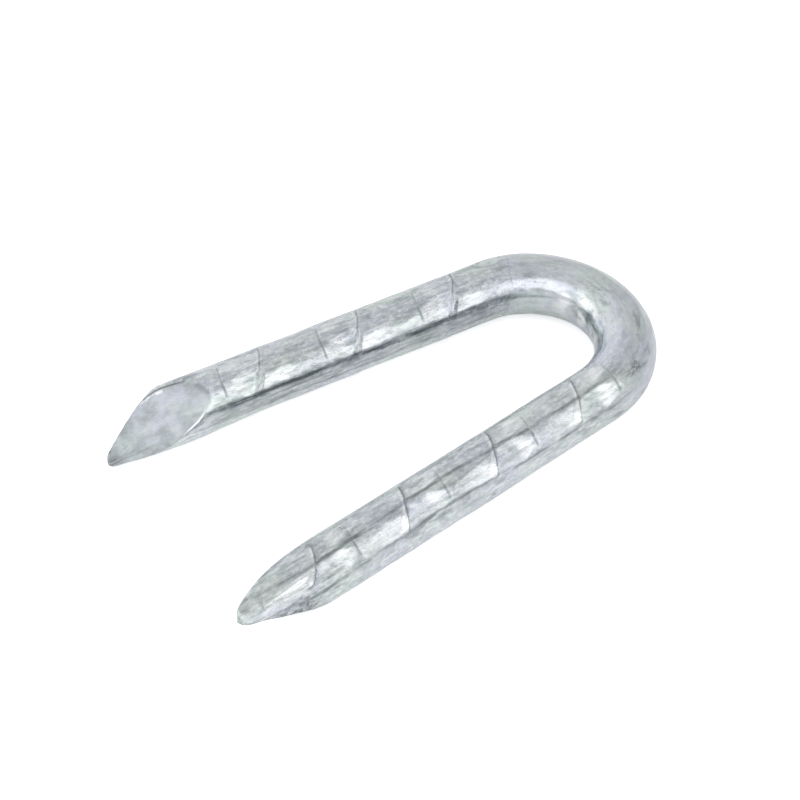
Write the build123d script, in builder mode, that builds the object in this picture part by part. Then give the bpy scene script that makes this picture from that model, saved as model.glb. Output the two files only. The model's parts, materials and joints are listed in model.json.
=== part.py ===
from build123d import *
from math import cos, radians, sin, tan
import os

os.makedirs("parts", exist_ok=True)

# Round wire, measured over its zinc coat
wire_diameter = 4.0

# U bend: radius of the wire's centre line at the crown, and how far each leg opens from parallel
bend_radius = 6.2
leg_splay = 5.2

# Leg lengths along the centre line, from the end of the bend to the point
left_leg = 28.4
right_leg = 30.3

# Slash cut at each point: angle to the wire, where it crosses the centre line (measured back
# from the point), and the way it faces, turned about the wire from straight up towards +X
left_slash_angle = 27.0
left_slash_setback = 3.3
left_slash_turn = 26.0
right_slash_angle = 21.0
right_slash_setback = 1.35
right_slash_turn = 150.0

# Curved relief on the -X side of each point: its length, and how far it comes across the wire
left_relief_length = 6.6
left_relief_depth = 1.75
right_relief_length = 10.2
right_relief_depth = 2.7

# Pressed barbs, in pairs above and below the wire: a shallow flat that ends in a raised burr.
# The pairs lean over by barb_turn, towards +X on top, and the dies struck the wire at a skew.
barb_pitch = 7.35
barb_flat_length = 3.0
barb_flat_depth = 0.15
barb_turn = 12.0
flat_skew = 15.0
burr_skew = 22.0
burr_height = 0.1
burr_width = 0.8

# First burr on each leg, measured from the end of the bend, and the length left bare at the point
left_first_burr = 2.65
right_first_burr = 2.4
point_margin = 5.0

# Seam of the round wire, turned from straight up towards +X, so that it runs between the barb rows
seam_turn = -40.0

wire_radius = wire_diameter / 2
overcut = wire_diameter


def leg_plane(sign):
    """Plane at the end of the bend: x along the leg to its point, z up."""
    opening = radians(leg_splay)
    start = (sign * bend_radius * cos(opening), bend_radius * sin(opening), 0)
    return Plane(origin=start, x_dir=(sign * sin(opening), -cos(opening), 0), z_dir=(0, 0, 1))


def cut_slash(leg, length, angle, setback, turn):
    """Takes the long slash face off a leg, in a sketch whose y axis is the way the slash faces."""
    crossing = length - setback
    run = overcut / tan(radians(angle))
    with BuildSketch(Plane(leg * Rotation(90 - turn, 0, 0))) as profile:
        with BuildLine():
            Polyline(
                (crossing - run, overcut),
                (crossing + run, -overcut),
                (crossing + run, overcut),
                close=True,
            )
        make_face()
    extrude(profile.sketch, amount=overcut, both=True, mode=Mode.SUBTRACT)


def cut_relief(leg, length, relief_length, relief_depth):
    """Takes a curved relief off the -X side of a leg, tangent to the wire where it starts."""
    start = length - relief_length
    with BuildSketch(leg) as profile:
        with BuildLine():
            curve = TangentArc(
                (start, -wire_radius),
                (length, relief_depth - wire_radius),
                tangent=(1, 0),
            )
            Polyline(
                curve @ 1,
                (length + overcut, relief_depth - wire_radius),
                (length + overcut, -overcut),
                (start, -overcut),
                curve @ 0,
            )
        make_face()
    extrude(profile.sketch, amount=overcut, both=True, mode=Mode.SUBTRACT)


def slash_start(length, angle, setback):
    """Where a slash face begins, measured along the leg from the end of the bend."""
    return length - setback - wire_radius / tan(radians(angle))


def raise_burr(leg, side, burr, forward):
    """Adds one burr: half a skewed collar that stands proud of the wire and sinks in at the sides."""
    crest = wire_radius + burr_height
    root = wire_radius * cos(radians(burr_skew)) - burr_height
    ring = Plane(leg * Location((burr, 0, 0), (-barb_turn, 0, -burr_skew)))
    with BuildSketch(ring) as profile:
        with BuildLine():
            Polyline(
                (0, root),
                (0, crest),
                (forward * burr_width, root),
                close=True,
            )
        make_face()
    revolve(profile.sketch, axis=Axis(ring.origin, ring.x_dir), revolution_arc=side * 180)


def press_flat(leg, side, burr, forward):
    """Presses the flat behind a burr, a level floor between two skewed ends."""
    burr_slope = tan(radians(burr_skew))
    end_slope = tan(radians(flat_skew))
    far = burr - forward * barb_flat_length
    level = Plane(leg * Rotation(-barb_turn, 0, 0))
    with BuildSketch(level.offset(side * (wire_radius - barb_flat_depth))) as outline:
        with BuildLine():
            Polyline(
                (burr - burr_slope * wire_radius, -wire_radius),
                (burr + burr_slope * wire_radius, wire_radius),
                (far + end_slope * wire_radius, wire_radius),
                (far - end_slope * wire_radius, -wire_radius),
                close=True,
            )
        make_face()
    extrude(outline.sketch, amount=side * overcut, mode=Mode.SUBTRACT)


def press_barbs(leg, side, first, forward, row_end):
    """Presses the row of barbs along one side of a leg: 1 is on top, -1 underneath."""
    barbs = 1 + int((row_end - first) // barb_pitch)
    for barb in range(barbs):
        raise_burr(leg, side, first + barb * barb_pitch, forward)
    for barb in range(barbs):
        press_flat(leg, side, first + barb * barb_pitch, forward)


left = leg_plane(-1)
right = leg_plane(1)

with BuildPart() as staple:
    with BuildLine() as centre_line:
        crown = CenterArc((0, 0), bend_radius, leg_splay, 180 - 2 * leg_splay)
        Line(right.from_local_coords((right_leg, 0)), crown @ 0)
        Line(crown @ 1, left.from_local_coords((left_leg, 0)))
    wire = centre_line.wires()[0]
    right_end = Plane(origin=wire @ 0, x_dir=(0, 0, 1), z_dir=wire % 0)
    with BuildSketch(Plane(right_end * Rotation(0, 0, seam_turn))):
        Circle(wire_radius)
    sweep(path=wire)

    # The dies struck the straight wire one way along, so the burrs lead towards the bend on the
    # left leg and towards the point on the right leg. A row stops short of a slash on its side.
    left_slash = slash_start(left_leg, left_slash_angle, left_slash_setback)
    right_slash = slash_start(right_leg, right_slash_angle, right_slash_setback)
    press_barbs(left, 1, left_first_burr, -1, left_slash)
    press_barbs(left, -1, left_first_burr, -1, left_leg - point_margin)
    press_barbs(right, 1, right_first_burr, 1, right_leg - point_margin)
    press_barbs(right, -1, right_first_burr, 1, right_slash)

    cut_slash(left, left_leg, left_slash_angle, left_slash_setback, left_slash_turn)
    cut_slash(right, right_leg, right_slash_angle, right_slash_setback, right_slash_turn)
    cut_relief(left, left_leg, left_relief_length, left_relief_depth)
    cut_relief(right, right_leg, right_relief_length, right_relief_depth)

# The staple lies flat: its lowest point is at z = 0 and its outline is centred on the origin
box = staple.part.bounding_box()
staple.part.position -= (box.center().X, box.center().Y, box.min.Z)

staple.part.label = "staple"
export_step(staple.part, "parts/staple.step")
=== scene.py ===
import json
from functools import partial
from math import asin, atan2, cos, floor, hypot, pi, radians, sin, sqrt, tan

import bmesh
import bpy
from mathutils import Matrix, Vector, noise


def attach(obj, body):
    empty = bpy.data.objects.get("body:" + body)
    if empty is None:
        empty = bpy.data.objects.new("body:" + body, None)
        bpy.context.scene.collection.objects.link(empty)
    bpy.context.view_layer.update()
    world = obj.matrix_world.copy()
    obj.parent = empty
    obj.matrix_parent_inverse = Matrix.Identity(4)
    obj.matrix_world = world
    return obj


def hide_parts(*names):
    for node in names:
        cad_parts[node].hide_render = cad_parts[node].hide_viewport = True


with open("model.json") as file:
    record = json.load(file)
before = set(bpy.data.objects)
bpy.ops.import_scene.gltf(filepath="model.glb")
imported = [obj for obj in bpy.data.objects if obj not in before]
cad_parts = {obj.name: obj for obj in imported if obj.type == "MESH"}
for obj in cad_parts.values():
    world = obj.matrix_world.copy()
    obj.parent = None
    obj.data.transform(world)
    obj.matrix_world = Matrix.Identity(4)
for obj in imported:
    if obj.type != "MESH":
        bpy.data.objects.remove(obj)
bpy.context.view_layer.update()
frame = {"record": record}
mm = 0.001
print("frame loaded")


# Facts of the wire, from the two legs of the frame. Lengths are in mm.
mounts = {mount["name"]: mount for mount in frame["record"]["mounts"]}


def legFacts(mount):
    axis = Vector(mount["axis"]).normalized()
    length = mount["dims"]["length_mm"]
    start = Vector(mount["pos_m"]) / mm - axis * length / 2
    return {"axis": axis, "length": length, "start": start}


leftLeg = legFacts(mounts["left_leg"])
rightLeg = legFacts(mounts["right_leg"])
wireRadius = mounts["right_leg"]["dims"]["r_mm"]
legSplay = asin(rightLeg["axis"].x)
bendRadius = (rightLeg["start"].x - leftLeg["start"].x) / 2 / cos(legSplay)
bendCentre = (leftLeg["start"] + rightLeg["start"]) / 2 - Vector((0, bendRadius * sin(legSplay), 0))
halfBend = (pi / 2 - legSplay) * bendRadius     # wire along half the crown

mesh = {
    "around": 128,          # vertices round the wire
    "step": 0.14,           # mm between rings, closer at the barbs
    "endRings": 7,          # rings across each closed end
    "closer": 2.8,          # how much closer the rings lie at a burr, and half as much at a line
    "closerBy": (0.75, 0.6),        # mm to each side of a burr and of a line
    # mm from the bend where the rings come to lean with the dies, and from the tip where they stop
    "leanFrom": (-3.5, 0.5), "leanTo": (9.0, 2.5),
}

# How each leg is struck and cut, in mm. Along runs from the end of the bend to the point, side
# towards +X, and a turn goes about the wire from straight up towards +X.
legs = {
    -1: {
        "length": leftLeg["length"] + 0.25,     # the torn tip hangs over a little
        "barbs": 3, "firstBurr": 2.65,
        "forward": -1,                          # the burrs lead towards the bend
        "loneLine": -1, "lonePart": 0.35,       # beside the row a die left only its line, this faint
        "facet": (radians(39), 0.055),          # turn and depth of the facet past each burr
        "lastFacetHighlight": (0.58, 0.0),               # painted highlight on the last facet, and how far it widens
        "slashAngle": radians(27.6), "slashSetback": 3.52, "slashTurn": radians(28.5),
        "reliefLength": 7.05, "reliefDepth": 2.05,
        "slashRound": 0.4, "farRound": 0.9,     # rounding of the slash's edge, near and far side
        "tipSoften": 0.9, "blunt": 0.3,         # the tip is softer, and blunter, by so much
        "tipSide": 0.48, "tipUp": -1.84,        # where the tip lies across the wire
        "tipRadius": 0.13,
        "swell": 0.2,                           # pushed out on the far side of the cut
        "bow": (0.0, 12),                       # slight curve outwards, and the length it takes
    },
    1: {
        "length": rightLeg["length"] + 0.24,
        "barbs": 4, "firstBurr": 2.4,
        "forward": 1,                           # the burrs lead towards the point
        "loneLine": 4, "lonePart": 0.7,
        "facet": (radians(31), 0.09),
        # painted highlight on the last facet, and how far it widens
        "lastFacetHighlight": (1.0, 0.13),
        "slashAngle": radians(21), "slashSetback": 1.35, "slashTurn": radians(150),
        "reliefLength": 10.3, "reliefDepth": 2.6,
        "slashRound": 0.18, "farRound": 0.4,
        "tipSoften": 0.0, "blunt": 0.15,
        "tipSide": 0.95, "tipUp": 1.27,
        "tipRadius": 0.38,
        "swell": 0.0,
        "bow": (0.1, 12),
    },
}

# What both points share. Lengths are in mm, and a run is measured back from the tip.
point = {
    "lead": 0.6,                    # ahead of the cuts, where the skin begins to run to the tip
    "round": 0.5, "roundPart": 0.93,        # rounded end: its run, and how nearly it closes
    "bluntRun": 2.0, "softenRun": (5.0, 3.0),       # where the cut gets blunter and softer
    "reliefRound": 0.35,            # rounding of the relief's edge
    "dark": 0.3, "darkRun": (1.2, 0.3),     # the very tips are painted darker, as shade
    "calmer": 0.5,                  # share of its relief that the skin loses by the tip
    # the swell beside a cut: middle and half width of its turn, and how far it takes to rise
    "swellTurn": (2.1, 0.9), "swellRise": 3.0,
}

# The barbs, in mm and radians
barb = {
    "pitch": 7.35,
    "from": -4,                     # past the end of the bend, where their marks can begin
    "lean": radians(12),            # the pairs lean towards +X on top
    # the line where a die began: depth, half width, middle of it and how far it fades to each side
    "line": 0.05, "lineWidth": 0.11, "lineTurn": 0.15, "lineFade": (0.5, 0.7),
    "lineSkew": tan(radians(14)),
    "skewReach": 0.3,               # across the wire, where the line stops being skewed
    # the two flats of a die: how far each is turned from the middle of the pair, and its depth
    "flats": ((radians(-20), 0.13), (radians(29), 0.19)),
    "flatLength": 3.0,
    "before": 0.45,                 # ahead of its line, where the stretch of a barb begins
    "sunkAtLine": 0.2, "sinkLength": 1.7,       # share of the depth at the line, and all of it here
    "flatRound": 0.03,              # rounding where a flat or a facet meets the round wire
    "pressed": (0.02, 0.5, 0.35),   # ripple on the pressed floor: height, length and width
    "burrSkew": tan(radians(22)),
    "sideSkew": 0.35,               # by which the burr runs on for each radian down its side
    "sideFrom": -0.2,               # where that begins
    "wander": 0.07,                 # how far the burr strays from its line
    "reach": (radians(-54), radians(53)),       # how far the burr runs down each side
    "crest": (0.08, 0.23),          # its height above the wire's top and at its side
    "uneven": 0.4,                  # share by which that height varies
    "front": (0.2, 0.48),           # length of its leading face, likewise
    "broadens": (0.1, 0.5),         # where it turns from the one to the other
    "foot": 0.36,                   # its other side, down to the flat
    "swell": 0.025, "swellLength": 0.9,     # of the wire just past the burr
    "facetLength": 4.2,             # facet past each burr, where the wire was squeezed
    "facetHighlight": (0.58, 0.0),           # painted highlight on the facet, and how far that widens
    "burnishAndHighlight": (0.6, 0.9, 1.2),     # painted highlight on the rubbed flats: strength, middle and half length from the line
}

surface = {
    "lumpSize": 3.0, "lumpHeight": 0.03,
    "dimpleSize": 0.8, "dimpleHeight": 0.018,
    "drawSize": 0.3, "drawLength": 6.0, "drawHeight": 0.014,
    "cutLumpSize": 1.3, "cutLumpHeight": 0.06,      # torn, wavy cut faces
    "crownSwell": 0.07,             # the wire is a little fuller where it was bent
    "crownFade": (-3, 1),           # mm past the end of the bend, where that ends
}

# Marks on the crown. Each spot has its middle and half length along the wire from the middle of
# the bend, then its middle turn towards the outer side and half width in radians.
crown = {
    "wrinkles": (0.8, 3.4, -1.45, 0.55),        # pressed in by the bender, inside the bend
    "knocks": (6.5, 2.3, 0.66, 0.4),
    "rubs": (-9.3, 1.0, 0.45, 0.4),
    # wiped zinc inside the bend, painted with a highlight
    "wipedAndHighlight": (0.5, 6.5, -1.3, 1.1),
    "wrinkleDepth": 0.05, "wrinkleGrime": 0.8,
    "knockDepth": 0.14, "knockGrime": 0.8, "rubGrime": 0.7,
}


def smooth(value, low, high):
    t = min(max((value - low) / (high - low), 0), 1)
    return t * t * (3 - 2 * t)


def softMin(a, b, blend):
    h = max(blend - abs(a - b), 0) / blend
    return min(a, b) - h * h * blend / 4


def bump(value, halfWidth):
    t = min(abs(value) / halfWidth, 1)
    return (1 - t * t) ** 2


def ripple(along, side, up, stretch, size, shift=0.0):
    return noise.noise(Vector((along / stretch + shift, side / size, up / size - shift)))


# Where the slash or the relief of a point begins
def cutStart(leg):
    slashStart = leg["length"] - leg["slashSetback"] - wireRadius / tan(leg["slashAngle"])
    return min(slashStart, leg["length"] - leg["reliefLength"])


# Height of a flat of some depth above the round wire, at an angle from the flat's middle
def toFlat(angle, depth):
    return (wireRadius - depth) / max(cos(angle), 0.2) - wireRadius


# The same, with its edges rounded into the wire
def roundedFlat(level):
    return softMin(level, 0.0, barb["flatRound"]) + barb["flatRound"] / 4


# Which barb of the row is near, and how far the place is from its burr, towards where it leads
def nearBarb(leg, along, across):
    ahead = leg["forward"] * (along - leg["firstBurr"] - barb["burrSkew"] * across)
    index = floor((ahead + barb["flatLength"] + barb["before"]) / barb["pitch"])
    return index * leg["forward"], ahead - index * barb["pitch"]


# Height off the round wire, painted shade in creases, and painted highlights on rubbed places that the
# dies leave at a place on a leg
def barbMarks(leg, along, side, up):
    across = side * cos(barb["lean"]) - up * sin(barb["lean"])
    above = side * sin(barb["lean"]) + up * cos(barb["lean"])
    face = 1 if above > 0 else -1
    index, fromBurr = nearBarb(leg, along, across)
    struck = 0 <= index < leg["barbs"]
    if not struck and index != leg["loneLine"]:
        return 0.0, 0.0, 0.0
    angle = atan2(face * across, face * above)
    skewed = barb["burrSkew"] * across - barb["lineSkew"] * min(across, barb["skewReach"])
    fromLine = fromBurr + barb["flatLength"]
    fromLine += leg["forward"] * skewed
    fromBurr -= leg["forward"] * barb["sideSkew"] * max(angle - barb["sideFrom"], 0.0)
    fromBurr += barb["wander"] * noise.noise(Vector((index * 5.0, across * 1.1, face * 3.0)))
    # the line where the die began
    line = bump(fromLine, barb["lineWidth"])
    line *= 1 - smooth(abs(angle - barb["lineTurn"]), *barb["lineFade"])
    height = -barb["line"] * line
    # the line is painted darker, as shade in its groove
    creaseShade = line * (0.35 + 0.4 * smooth(angle, -0.1, 0.4))
    if not struck:
        return leg["lonePart"] * height, leg["lonePart"] * creaseShade, 0.0
    # the flats sink from the line, then run level to the foot of the burr
    sunk = barb["sunkAtLine"] + (1 - barb["sunkAtLine"]) * smooth(fromLine, 0, barb["sinkLength"])
    level = min(toFlat(angle - turn, depth * sunk) for turn, depth in barb["flats"])
    inside = smooth(fromLine, -0.1, 0.1) * (1 - smooth(fromBurr, -barb["foot"], 0))
    height += inside * roundedFlat(level)
    if level < 0.02:
        rippleHeight, rippleLength, rippleWidth = barb["pressed"]
        height += inside * rippleHeight * ripple(along, side, up, rippleLength, rippleWidth, 3.1)
    # the burr: a thin crest that broadens to a slanting face at its side
    topEnd, sideEnd = barb["reach"]
    spread = smooth(angle, topEnd, 0.5 * topEnd) * (1 - smooth(angle, 0.82 * sideEnd, sideEnd))
    broad = smooth(angle, *barb["broadens"])
    crest, front = (low + (high - low) * broad for low, high in (barb["crest"], barb["front"]))
    uneven = noise.noise(Vector((index * 3.0, across * 2.2, face * 7.0)))
    crest *= spread * (1 + barb["uneven"] * uneven)
    if fromBurr > 0:
        height += crest * (1 - smooth(fromBurr, 0, front))
        height += spread * barb["swell"] * (1 - smooth(fromBurr, 0, barb["swellLength"]))
    else:
        height += (crest + spread * barb["swell"]) * smooth(fromBurr, -barb["foot"], 0)
    # painted shade lies at the foot of its crest and where it runs out at its side
    creaseShade = max(creaseShade, bump(fromBurr + 0.08, 0.1) * spread * (0.85 - 0.5 * broad))
    creaseShade = max(creaseShade, 0.55 * bump(fromBurr, 0.5) * bump(angle - 0.95, 0.15))
    # a long facet runs on from the burr and narrows
    run = bump(fromBurr - 0.15 * barb["facetLength"], 0.85 * barb["facetLength"])
    facetTurn, facetDepth = leg["facet"]
    turn = angle - facetTurn
    if fromBurr > 0:
        height += min(roundedFlat(toFlat(turn, facetDepth * run)), 0.0)
    # the facet, the crest and the flats are rubbed smoother and get painted highlights
    facetHighlight, wider = leg["lastFacetHighlight"] if index == leg["barbs"] - 1 else barb["facetHighlight"]
    halfFacet = sqrt(facetDepth * run) + 0.01 + wider
    shine = facetHighlight * run * (fromBurr > 0)
    shine *= 1 - smooth(abs(turn + wider), 0.6 * halfFacet, 1.2 * halfFacet)
    # the crest's leading face gets a painted highlight, broadest at its side
    crestHighlight = smooth(fromBurr, -0.04, 0.02) * (1 - smooth(fromBurr, 0.6 * front, front))
    crestHighlight *= 0.3 + 0.7 * broad
    burnishAndHighlight, middle, halfLength = barb["burnishAndHighlight"]
    # painted highlight on the flats near their line
    burnishedHighlight = burnishAndHighlight * bump(fromLine - middle, halfLength) * (fromLine > 0)
    burnishedHighlight *= smooth(-level, 0.0, barb["flatRound"])
    return height, creaseShade, max(shine, spread * crestHighlight, burnishedHighlight)


# Reach from a place inside the wire to its skin, past the slash and the relief of a point, and
# how far the place lies inside the edge of the slash face
def reachOf(leg, along, side0, up0, dirSide, dirUp, height):
    radius = wireRadius + height
    inward = side0 * dirSide + up0 * dirUp
    reach = -inward + sqrt(max(inward * inward + radius ** 2 - side0 ** 2 - up0 ** 2, 0))
    cut = -1.0
    # the slash is a slanting plane with a torn surface, softer and blunter towards the tip
    side, up = side0 + dirSide * reach, up0 + dirUp * reach
    lump = surface["cutLumpSize"]
    torn = surface["cutLumpHeight"] * ripple(along, side, up, lump, lump, 5.3)
    faceSide, faceUp = sin(leg["slashTurn"]), cos(leg["slashTurn"])
    room = (leg["length"] - leg["slashSetback"] - along) * tan(leg["slashAngle"])
    room += leg["blunt"] * smooth(along, leg["length"] - point["bluntRun"], leg["length"])
    room -= side0 * faceSide + up0 * faceUp
    slope = dirSide * faceSide + dirUp * faceUp
    if slope > 1e-3:
        slash = (room + torn) / slope
        far = smooth(faceSide * dirUp - faceUp * dirSide, -0.1, 0.6)
        near = smooth(faceUp * dirSide - faceSide * dirUp, 0.3, 0.8)
        soften = leg["tipSoften"]
        soften *= smooth(along, *(leg["length"] - run for run in point["softenRun"]))
        cut = min(max(reach - slash + soften * near, -1), 1)
        blend = leg["slashRound"] + (leg["farRound"] - leg["slashRound"]) * far + soften
        reach = softMin(reach, slash, blend)
    # the relief is a hollow arc on the -X side
    reliefRun = along - leg["length"] + leg["reliefLength"]
    if reliefRun > 0 and dirSide < -1e-3:
        run, depth = leg["reliefLength"], leg["reliefDepth"]
        arc = (run * run + depth * depth) / (2 * depth)
        skin = -wireRadius + arc - sqrt(arc * arc - min(reliefRun, run) ** 2)
        reach = softMin(reach, (skin - side0) / dirSide, point["reliefRound"])
    return max(reach, leg["tipRadius"]), cut


def skinNoise(along, side, up):
    lumps = ripple(along, side, up, surface["lumpSize"], surface["lumpSize"] * 0.6)
    dimples = ripple(along, side, up, surface["dimpleSize"] * 1.5, surface["dimpleSize"], 3.7)
    draws = ripple(along, side, up, surface["drawLength"], surface["drawSize"], 1.3)
    return (
        surface["lumpHeight"] * lumps
        + surface["dimpleHeight"] * dimples
        + surface["drawHeight"] * draws
    )


# Places along the straight wire for its rings, closer together where a burr or a line crosses
def ringPlaces(low, high):
    places = [low]
    byBurr, byLine = mesh["closerBy"]
    while places[-1] < high - mesh["step"] / 2:
        along = places[-1]
        leg = legs[1 if along > 0 else -1]
        index, fromBurr = nearBarb(leg, abs(along) - halfBend, 0)
        closer = 1.0
        if 0 <= index < leg["barbs"] or index == leg["loneLine"]:
            closer += mesh["closer"] * bump(fromBurr, byBurr)
            closer += 0.5 * mesh["closer"] * bump(fromBurr + barb["flatLength"], byLine)
        places.append(along + mesh["step"] / closer)
    places[-1] = high
    return places


# The wire's outline is spun round the X axis: straight wire, closed at both ends
def drawWire():
    low = -(halfBend + legs[-1]["length"])
    high = halfBend + legs[1]["length"]
    places = ringPlaces(low, high)
    bm = bmesh.new()
    first, second = bm.verts.new((0, 0, wireRadius)), bm.verts.new((1, 0, wireRadius))
    line = bm.edges.new((first, second))
    bmesh.ops.subdivide_edges(bm, edges=[line], cuts=len(places) - 2)
    row = sorted(bm.verts, key=lambda vert: vert.co.x)
    for vert, place in zip(row, places):
        vert.co.x = place
    for end in (low, high):
        outer = min(bm.verts, key=lambda vert: abs(vert.co.x - end) + abs(vert.co.z - wireRadius))
        centre = bm.verts.new((end, 0, 0))
        spoke = bm.edges.new((outer, centre))
        bmesh.ops.subdivide_edges(bm, edges=[spoke], cuts=mesh["endRings"])
    bmesh.ops.spin(
        bm, geom=bm.verts[:] + bm.edges[:], cent=(0, 0, 0), axis=(1, 0, 0),
        angle=2 * pi, steps=mesh["around"], use_merge=True,
    )
    bmesh.ops.remove_doubles(bm, verts=bm.verts, dist=1e-5)
    bmesh.ops.recalc_face_normals(bm, faces=bm.faces)
    return bm


# Where a place on the straight wire lies once it is bent
def bend(along, out, up):
    if abs(along) <= halfBend:
        turn = along / bendRadius
        radial = bendRadius + out
        return bendCentre + Vector((radial * sin(turn), radial * cos(turn), up))
    side = 1 if along > 0 else -1
    leg = rightLeg if side > 0 else leftLeg
    bow, bowLength = legs[side]["bow"]
    out += bow * smooth(abs(along) - halfBend, 0, bowLength)
    outward = Vector((side * cos(legSplay), sin(legSplay), 0))
    return leg["start"] + leg["axis"] * (abs(along) - halfBend) + outward * out + Vector((0, 0, up))


def spot(name, along, turn):
    middle, halfLength, middleTurn, halfWidth = crown[name]
    return bump(along - middle, halfLength) * bump(turn - middleTurn, halfWidth)


# Marks of the bender and of handling on the crown: height, grime, and how far it is wiped, which is
# painted as a highlight
def crownMarks(along, out, up):
    turn = atan2(out, up)
    wrinkles, knocks, rubs = (spot(name, along, turn) for name in ("wrinkles", "knocks", "rubs"))
    folds = max(ripple(along, out, up, 0.55, 0.9, 2.2), -0.2)
    pits = max(ripple(along, out, up, 0.7, 0.32, 8.8) + 0.15, 0)
    height = -crown["wrinkleDepth"] * wrinkles * folds
    height -= crown["knockDepth"] * max(knocks, rubs) * pits
    grime = max(
        crown["wrinkleGrime"] * wrinkles * smooth(ripple(along, out, up, 0.9, 0.3, 4.4), 0.0, 0.3),
        crown["knockGrime"] * knocks * smooth(pits, 0.1, 0.28),
        crown["rubGrime"] * rubs * smooth(pits, 0.1, 0.3),
    )
    blotches = smooth(ripple(along, out, up, 1.2, 0.9, 6.6), -0.3, 0.15)
    return height, grime, spot("wipedAndHighlight", along, turn) * blotches


# Strikes, cuts and bends the straight wire, and keeps on each vertex what its material reads
def shapeWire(bm):
    straight = bm.verts.layers.float_vector.new("straightWire")
    # painted shade in creases and at the tips
    creaseShades = bm.verts.layers.float.new("creaseShade")
    grimes = bm.verts.layers.float.new("grime")
    # painted highlights, on zinc that is also rubbed smoother
    polishAndHighlights = bm.verts.layers.float.new("shine")
    cuts = bm.verts.layers.float.new("insideCut")
    skew = (barb["burrSkew"] + barb["lineSkew"]) / 2
    swellTurn, swellWidth = point["swellTurn"]
    for vert in bm.verts:
        along, out, up = vert.co
        sign = 1 if along > 0 else -1
        leg = legs[sign]
        length = leg["length"]
        inLeg = abs(along) - halfBend
        radius = hypot(out, up)
        share = min(radius / wireRadius, 1)
        dirSide, dirUp = (out * sign / radius, up / radius) if radius > 1e-6 else (0, 1)
        # rings lean with the dies, but not at the crown or the point
        lean = smooth(inLeg, *mesh["leanFrom"])
        lean *= 1 - smooth(inLeg, *(length - run for run in mesh["leanTo"]))
        inLeg += lean * skew * wireRadius * dirSide
        along = sign * (halfBend + inLeg)
        side, up = wireRadius * dirSide, wireRadius * dirUp
        out = side * sign
        creaseShade = shine = grime = 0.0
        cut = -1.0
        height = skinNoise(along, out, up)
        if inLeg > barb["from"]:
            marks, creaseShade, shine = barbMarks(leg, inLeg, side, up)
            height += marks
        if inLeg < surface["crownFade"][1]:
            marks, grime, wipedAndHighlight = crownMarks(along, out, up)
            height += marks + surface["crownSwell"] * (1 - smooth(inLeg, *surface["crownFade"]))
            shine = max(shine, wipedAndHighlight)
        start = cutStart(leg) - point["lead"]
        swell = leg["swell"] * smooth(inLeg, start - point["swellRise"], start + point["swellRise"])
        height += swell * bump(atan2(side, up) - swellTurn, swellWidth)
        if inLeg > start:
            # towards the point the skin is reached from a line that runs to the tip
            toTip = smooth(inLeg, start, length)
            side0, up0 = leg["tipSide"] * toTip, leg["tipUp"] * toTip
            height *= 1 - point["calmer"] * toTip
            # painted shade at the very tips
            dark = smooth(inLeg, *(length - run for run in point["darkRun"]))
            creaseShade = max(creaseShade, point["dark"] * dark)
            reach, cut = reachOf(leg, inLeg, side0, up0, dirSide, dirUp, height)
            fromTip = length - inLeg
            if fromTip < point["round"]:
                part = 1 - fromTip / point["round"]
                inLeg = length - point["round"] * (1 - sin(part * pi / 2))
                reach *= cos(part * pi / 2 * point["roundPart"])
            reach *= share
            side, up = side0 + dirSide * reach, up0 + dirUp * reach
            along, out = sign * (halfBend + inLeg), side * sign
        else:
            scale = (wireRadius + height) / wireRadius * share
            out, up = out * scale, up * scale
        vert[straight] = (along, out, up)
        vert[creaseShades] = creaseShade
        vert[grimes] = grime
        vert[polishAndHighlights] = shine
        vert[cuts] = cut
        vert.co = bend(along, out, up)


bm = drawWire()
print("wire drawn:", len(bm.verts), "vertices")
shapeWire(bm)
bmesh.ops.scale(bm, vec=(mm, mm, mm), verts=bm.verts)
for face in bm.faces:
    face.smooth = True
meshData = bpy.data.meshes.new("galvanisedStaple")
bm.to_mesh(meshData)
bm.free()
staple = bpy.data.objects.new("galvanised_staple", meshData)
bpy.context.scene.collection.objects.link(staple)
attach(staple, "root")
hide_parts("staple")
print("wire struck, cut and bent:", len(meshData.polygons), "faces")


# Materials
def hexColour(text):
    channels = [int(text[i:i + 2], 16) / 255 for i in (1, 3, 5)]
    linear = [c / 12.92 if c <= 0.04045 else ((c + 0.055) / 1.055) ** 2.4 for c in channels]
    return (*linear, 1)


# Adds a node with its settings. An input is a value or another node's output, and what comes back
# is the node's own output.
def addNode(tree, kind, inputs=None, output=0, **settings):
    node = tree.nodes.new("ShaderNode" + kind)
    for name, value in settings.items():
        setattr(node, name, value)
    for name, value in (inputs or {}).items():
        if isinstance(value, bpy.types.NodeSocket):
            tree.links.new(value, node.inputs[name])
        else:
            node.inputs[name].default_value = value
    return node.outputs[output] if node.outputs else None


# The product, the sum or the largest of several outputs
def together(add, operation, parts):
    total = parts[0]
    for part in parts[1:]:
        total = add("Math", {0: total, 1: part}, operation=operation)
    return total


def newMaterial(name):
    material = bpy.data.materials.new(name)
    material.use_nodes = True
    material.node_tree.nodes.clear()
    return material, partial(addNode, material.node_tree)


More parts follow.
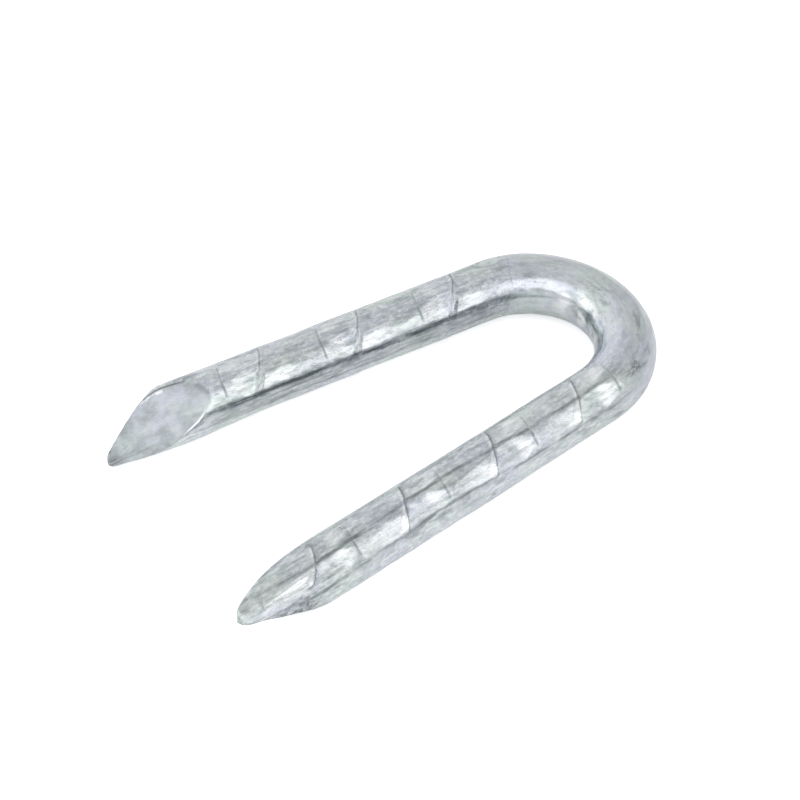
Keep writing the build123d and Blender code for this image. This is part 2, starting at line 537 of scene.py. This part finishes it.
zinc = {
    "bluish": "#c6cad6", "greenish": "#c9d4d1",
    # patterns of the coat: mm along the wire, mm across it, detail, and a shift
    "patterns": {
        "patches": (4.4, 2.2, 3, (4, 1, 9)),        # of the two tints
        "clouds": (1.5, 1.5, 2, (7, 2, 5)),         # on the slashed faces
        "smudges": (1.25, 0.5, 3, (2, 8, 4)),
        "spangle": (0.384, 0.24, 3, (0, 0, 0)),     # fine mottle
        "streaks": (1.8, 0.2, 4, (0, 5, 2)),
        "clumps": (6.0, 2.5, 2, (8, 0, 3)),         # where streaks and smudges gather
        "flecks": (0.35, 0.14, 2, (3, 3, 1)),       # short dark strokes
        "sway": (2.5, 3.0, 2, (6, 0, 0)),
        # roughness of the coat, which is finer than this, drawn as coarse as it needs to show
        "grain": (0.09, 0.09, 2, (1, 2, 3)),
    },
    # dark lines along each leg, partly drawn marks and partly painted reflections of dark surroundings:
    # turn, half width and strength
    "rightLinesAndReflections": ((0.26, 0.1, 0.6), (1.13, 0.1, 0.55), (1.17, 0.3, 0.15)),
    # on the left leg the broad line paints the reflection of the right leg's shaded side
    "leftLinesAndReflections": ((1.22, 0.14, 0.85), (1.7, 0.1, 0.55), (1.5, 0.4, 0.4)),
    "lineSway": 0.2,            # radians by which the lines sway
    "lineWeave": (0.1, 20.0, 4.0),      # slow weave on the right: radians, its length, first crest
    "lineLonger": 5.5,          # mm by which the lines run on along the right leg
    "roughness": (0.18, 0.42),          # over the fine mottle
    "rougher": {"cut": 0.15, "streak": 0.12, "shine": -0.08},
    "relief": {"spangle": 0.03, "grain": 0.006, "streaks": 0.025},      # mm
    "reliefShows": (0.15, 0.75),        # on the crown, which the bender smoothed, and on the legs
}

# Areas that the marks below keep to. Each is a product of ramps: what a ramp follows, from where
# to where, and its values there.
areas = {
    "onLeg": (("inLeg", -2.5, 1.0, 0, 1),),
    "cut": (("insideCut", -0.02, 0.08, 0, 1),),
    # the left cut has a burr on the +X side of its edge, with a painted highlight on it and painted shade
    # beside it, and a rim on the other
    "burrSide": (("side", 0.4, 0.9, 0, 1), ("inLeg", 22.0, 22.4, 0, 1), ("inLeg", 23.4, 24.0, 1, 0)),
    "rim": (("side", -0.4, -0.9, 0, 1),),
}

# Marks over the coat, from the bottom up: name, colour, and products of ramps of which the
# strongest counts
coatMarks = (
    ("sheared", "#9da4a8", (        # dull faces of the cuts
        ("cut", ("clouds", 0.4, 0.6, 0.95, 0.3)),
    )),
    ("mottle", "#eef1f1", (
        (("spangle", 0.42, 0.68, 0, 1), ("onLeg", 0, 1, 0.35, 0.85), ("cut", 0, 1, 1, 0.3)),
    )),
    # painted highlights where the zinc is rubbed or wiped
    ("wipedAndHighlight", "#f6f8f9", (
        ("shine", ("flecks", 0.3, 0.55, 0.4, 1)),
    )),
    ("smudge", "#a3aaae", (
        (
            ("smudges", 0.48, 0.66, 0, 1), ("clumps", 0.4, 0.6, 0.3, 0.9),
            ("cut", 0, 1, 1, 0.35), ("shine", 0, 1, 1, 0.4),
        ),
    )),
    ("streak", "#8f989c", (
        (
            ("streaks", 0.48, 0.66, 0, 1), ("clumps", 0.35, 0.6, 0.15, 0.8),
            ("onLeg", 0, 1, 0.32, 0.6), ("cut", 0, 1, 1, 0.1), ("shine", 0, 1, 1, 0.3),
        ),
    )),
    ("sootAndShade", "#454e52", (
        # dark lines along the legs, partly painted reflection of dark surroundings
        ("darkLinesAndReflection", "onLeg", ("lineRun", 20, 24, 1, 0), ("streaks", 0.36, 0.56, 0.35, 1)),
        ("grime", ("flecks", 0.36, 0.6, 0.15, 1)),
        (("flecks", 0.6, 0.75, 0, 0.7), ("clumps", 0.45, 0.6, 0.1, 0.8), ("cut", 0, 1, 1, 0.2)),
        # painted shade in the creases of the dies and at the tips
        (("creaseShade", 0, 1, 0, 0.7),),
        # painted shade beside the burr of the left cut, and a dark line along its rim
        (("insideCut", -0.2, -0.1, 0, 0.7), ("insideCut", -0.1, 0, 1, 0), "burrSide"),
        (("insideCut", -0.12, 0.02, 0, 0.85), ("insideCut", 0.02, 0.16, 1, 0), "rim"),
        # the lower edge of the right point is soiled
        (
            "right", ("turn", 0.95, 1.3, 0, 0.85), ("inLeg", 24.5, 26, 0, 1),
            ("inLeg", 29.2, 30, 1, 0), ("flecks", 0.42, 0.58, 0.15, 1),
        ),
    )),
    ("rubbedAndHighlight", "#f6f8f9", (
        (
            ("insideCut", 0.1, 0.35, 0, 1), ("insideCut", 0.35, 0.6, 1, 0),
            "rim", ("smudges", 0.5, 0.6, 0, 1),
        ),
        # a painted highlight on the burr of the left cut
        (("insideCut", -0.03, 0.06, 0, 1), ("insideCut", 0.06, 0.15, 1, 0), "burrSide"),
    )),
)


# Hot-dip galvanised drawn steel: a zinc coat wiped along the wire, so it is bright, slightly mottled
# from bluish to greenish grey, with dull streaks along the wire. Painted shade darkens its creases,
# painted reflections of dark surroundings darken lines along the legs, and painted highlights brighten its
# facets, crests and flats.
def galvanisedWire():
    material, add = newMaterial("hotDipGalvanisedWire")
    place = add("Attribute", output="Vector", attribute_name="straightWire")
    fields = {
        name: add("Attribute", output="Fac", attribute_name=name)
        for name in ("creaseShade", "grime", "shine", "insideCut")
    }

    # where the place lies: on which leg, how far along it, and the turn about the wire
    axes = add("SeparateXYZ", {"Vector": place}).node.outputs
    legSign = add("Math", {0: axes["X"]}, operation="SIGN")
    fromMiddle = add("Math", {0: axes["X"]}, operation="ABSOLUTE")
    fields["right"] = add("Math", {0: axes["X"], 1: 0}, operation="GREATER_THAN")
    fields["inLeg"] = add("Math", {0: fromMiddle, 1: halfBend}, operation="SUBTRACT")
    fields["side"] = add("Math", {0: axes["Y"], 1: legSign}, operation="MULTIPLY")
    fields["turn"] = add("Math", {0: fields["side"], 1: axes["Z"]}, operation="ARCTAN2")

    for name, (length, width, detail, shift) in zinc["patterns"].items():
        scaled = add(
            "Mapping", {"Vector": place, "Scale": (1 / length, 1 / width, 1 / width), "Location": shift},
        )
        fields[name] = add(
            "TexNoise", {"Vector": scaled, "Scale": 1.0, "Detail": detail, "Roughness": 0.6},
        )

    # a ramp that is only a name is taken as it is
    def product(ramps):
        parts = []
        for ramp in ramps:
            if isinstance(ramp, str):
                parts.append(fields[ramp])
                continue
            name, low, high, atLow, atHigh = ramp
            parts.append(add("MapRange", {
                "Value": fields[name], "From Min": low, "From Max": high,
                "To Min": atLow, "To Max": atHigh,
            }))
        return together(add, "MULTIPLY", parts)

    def strongest(products):
        return together(add, "MAXIMUM", [product(ramps) for ramps in products])

    for name, ramps in areas.items():
        fields[name] = product(ramps)

    # the dark lines, drawn marks and painted reflections: the turn that they follow sways, and weaves
    # slowly on the right leg
    reach, wave, crest = zinc["lineWeave"]
    sway, perMm = zinc["lineSway"], 2 * pi / wave
    phase = add("Math", {0: fields["inLeg"], 1: perMm, 2: -crest * perMm}, operation="MULTIPLY_ADD")
    weave = add("Math", {0: phase}, operation="COSINE")
    weave = add("Math", {0: weave, 1: fields["right"]}, operation="MULTIPLY")
    lineTurn = add("Math", {0: weave, 1: -reach, 2: fields["turn"]}, operation="MULTIPLY_ADD")
    lineTurn = add("Math", {0: fields["sway"], 1: sway, 2: lineTurn}, operation="MULTIPLY_ADD")
    fields["lineTurn"] = add("Math", {0: lineTurn, 1: sway / 2}, operation="SUBTRACT")
    fields["lineRun"] = add(
        "Math", {0: fields["right"], 1: -zinc["lineLonger"], 2: fields["inLeg"]}, operation="MULTIPLY_ADD",
    )
    darkLinesAndReflection = []
    for side, onSide in (("rightLinesAndReflections", (0, 1)), ("leftLinesAndReflections", (1, 0))):
        for middle, halfWidth, strength in zinc[side]:
            core = halfWidth / 4
            darkLinesAndReflection.append((
                ("right", 0, 1, *onSide),
                ("lineTurn", middle - halfWidth, middle - core, 0, strength),
                ("lineTurn", middle + core, middle + halfWidth, 1, 0),
            ))
    fields["darkLinesAndReflection"] = strongest(darkLinesAndReflection)

    colour = add("Mix", {
        0: product([("patches", 0.4, 0.6, 0, 1)]),
        6: hexColour(zinc["bluish"]), 7: hexColour(zinc["greenish"]),
    }, output=2, data_type="RGBA")
    for name, tint, products in coatMarks:
        fields[name] = strongest(products)
        colour = add("Mix", {0: fields[name], 6: colour, 7: hexColour(tint)}, output=2, data_type="RGBA")

    rough = product([("spangle", 0.3, 0.7, *zinc["roughness"]), ("onLeg", 0, 1, 0.6, 1)])
    for name, amount in zinc["rougher"].items():
        rough = add("Math", {0: fields[name], 1: amount, 2: rough}, operation="MULTIPLY_ADD")
    height = 0.0
    for name, amount in zinc["relief"].items():
        height = add("Math", {0: fields[name], 1: amount, 2: height}, operation="MULTIPLY_ADD")
    shows = product([("onLeg", 0, 1, *zinc["reliefShows"])])
    relief = add("Bump", {"Height": height, "Strength": shows, "Distance": mm})

    shader = add("BsdfPrincipled", {
        "Base Color": colour, "Metallic": 1.0, "Roughness": rough, "Normal": relief,
    })
    add("OutputMaterial", {"Surface": shader})
    return material


staple.data.materials.append(galvanisedWire())
print("zinc coat made")


studio = {
    "camAzimuth": radians(53.81),
    "camElevation": radians(44.52),
    "camRoll": radians(0.89),
    "camDistance": 166.54,          # mm
    "camLens": 114.93,              # mm
    "camSensor": 36,                # mm
    "camAim": (-0.848, -10.252, 0), # mm from the centre of the bend
    "floorSize": 4000,              # mm
    "floor": "#f2f2f2",
    "floorGlow": 0.55,              # what the camera sees of the floor beside its own light
    "floorFrontGlow": 0.22,             # and painted light that the metal sees, at the front of the floor
    "frontGlowAxis": (0.5, -0.87, 0),   # towards the front
    "frontGlowFade": 20,                # mm behind the middle, where it ends
    "sky": 0.82,
    # one long window round the front: azimuth, elevation, radius and strength of its parts
    "windows": (
        (-127, 21, 18, 0.4), (-105, 31, 20, 0.72), (-82, 37, 22, 1.0), (-57, 42, 20, 1.0),
        (-30, 43, 20, 1.0), (-6, 40, 17, 1.0), (12, 37, 15, 0.9), (33, 30, 12, 0.6),
    ),
    "windowEdge": 5, "windowGlow": 0.68,
    # pale and dark screens: azimuth, elevation, full and fading angle, what each adds
    "screens": ((-165, 15, 20, 55, 0.2), (97, 22, 15, 50, -0.09), (45, 78, 5, 35, -0.04)),
    "keyDirection": (0.8, 0.42, 0.46),
    "keySize": 160,                 # mm
    "keyDistance": 250,             # mm
    "keyPower": 0.012,
}


# Pale floor: a matt sheet that keeps the shadow and glows a little to the camera. Its front, near
# the window, glows with painted light that the metal sees, brighter than its back.
def paleFloor():
    material, add = newMaterial("paleMattSheet")
    rays = add("LightPath").node.outputs
    place = add("TexCoord", output="Object")
    toFront = add(
        "VectorMath", {0: place, 1: studio["frontGlowAxis"]}, output="Value", operation="DOT_PRODUCT",
    )
    # painted light on the floor's front, seen only by the metal
    frontGlow = add("MapRange", {
        "Value": toFront, "From Min": -studio["frontGlowFade"] * mm, "From Max": 0,
        "To Min": 0, "To Max": studio["floorFrontGlow"],
    })
    seen = add("Math", {0: rays["Is Camera Ray"], 1: studio["floorGlow"]}, operation="MULTIPLY")
    seen = add("Math", {0: rays["Is Glossy Ray"], 1: frontGlow, 2: seen}, operation="MULTIPLY_ADD")
    matt = add("BsdfDiffuse", {"Color": hexColour(studio["floor"])})
    glow = add("Emission", {"Color": (1, 1, 1, 1), "Strength": seen})
    add("OutputMaterial", {"Surface": add("AddShader", {0: matt, 1: glow})})
    bm = bmesh.new()
    bmesh.ops.create_grid(bm, x_segments=1, y_segments=1, size=studio["floorSize"] / 2 * mm)
    data = bpy.data.meshes.new("paleFloor")
    bm.to_mesh(data)
    bm.free()
    sheet = bpy.data.objects.new("pale_floor", data)
    sheet.data.materials.append(material)
    bpy.context.scene.collection.objects.link(sheet)


# Soft studio: an even sky with one long window round the front and right, and white to the camera
def softStudio():
    world = bpy.data.worlds.new("softStudio")
    bpy.context.scene.world = world
    world.use_nodes = True
    world.node_tree.nodes.clear()
    add = partial(addNode, world.node_tree)
    place = add("TexCoord", output="Generated")

    # a disc of light on the sky, with a soft edge
    def disc(azimuth, elevation, full, nothing, strength):
        azimuth, elevation = radians(azimuth), radians(elevation)
        middle = (cos(elevation) * cos(azimuth), cos(elevation) * sin(azimuth), sin(elevation))
        nearness = add("VectorMath", {0: place, 1: middle}, output="Value", operation="DOT_PRODUCT")
        return add("MapRange", {
            "Value": nearness, "From Min": cos(radians(nothing)), "From Max": cos(radians(full)),
            "To Min": 0, "To Max": strength,
        }, interpolation_type="SMOOTHSTEP")

    halfEdge = studio["windowEdge"] / 2
    window = together(add, "MAXIMUM", [
        disc(azimuth, elevation, radius - halfEdge, radius + halfEdge, strength)
        for azimuth, elevation, radius, strength in studio["windows"]
    ])
    screens = together(add, "ADD", [disc(*screen) for screen in studio["screens"]])
    light = add("Math", {0: window, 1: studio["windowGlow"], 2: screens}, operation="MULTIPLY_ADD")
    light = add("Math", {0: light, 1: studio["sky"]}, operation="ADD")
    toCamera = add("LightPath", output="Is Camera Ray")
    strength = add("Mix", {0: toCamera, 2: light, 3: 1.0}, data_type="FLOAT")
    add("OutputWorld", {"Surface": add("Background", {"Color": (1, 1, 1, 1), "Strength": strength})})


def keyLamp():
    data = bpy.data.lights.new("softKey", "AREA")
    data.shape = "DISK"
    data.size = studio["keySize"] * mm
    data.energy = studio["keyPower"]
    lamp = bpy.data.objects.new("soft_key", data)
    away = Vector(studio["keyDirection"]).normalized()
    lamp.location = away * studio["keyDistance"] * mm
    lamp.rotation_euler = away.to_track_quat("Z", "Y").to_euler()
    bpy.context.scene.collection.objects.link(lamp)


def camera():
    data = bpy.data.cameras.new("camera")
    data.sensor_width = studio["camSensor"]
    data.lens = studio["camLens"]
    data.clip_start = 1 * mm
    data.clip_end = 10
    eye = bpy.data.objects.new("camera", data)
    turn = Matrix.Rotation(studio["camAzimuth"], 4, "Z")
    turn = turn @ Matrix.Rotation(pi / 2 - studio["camElevation"], 4, "X")
    turn = turn @ Matrix.Rotation(studio["camRoll"], 4, "Z")
    aim = bendCentre + Vector(studio["camAim"])
    back = turn.to_3x3() @ Vector((0, 0, 1))
    eye.matrix_world = Matrix.Translation((aim + back * studio["camDistance"]) * mm) @ turn
    bpy.context.scene.collection.objects.link(eye)
    bpy.context.scene.camera = eye


paleFloor()
softStudio()
keyLamp()
camera()
bpy.context.scene.view_settings.view_transform = "Standard"
print("studio set")
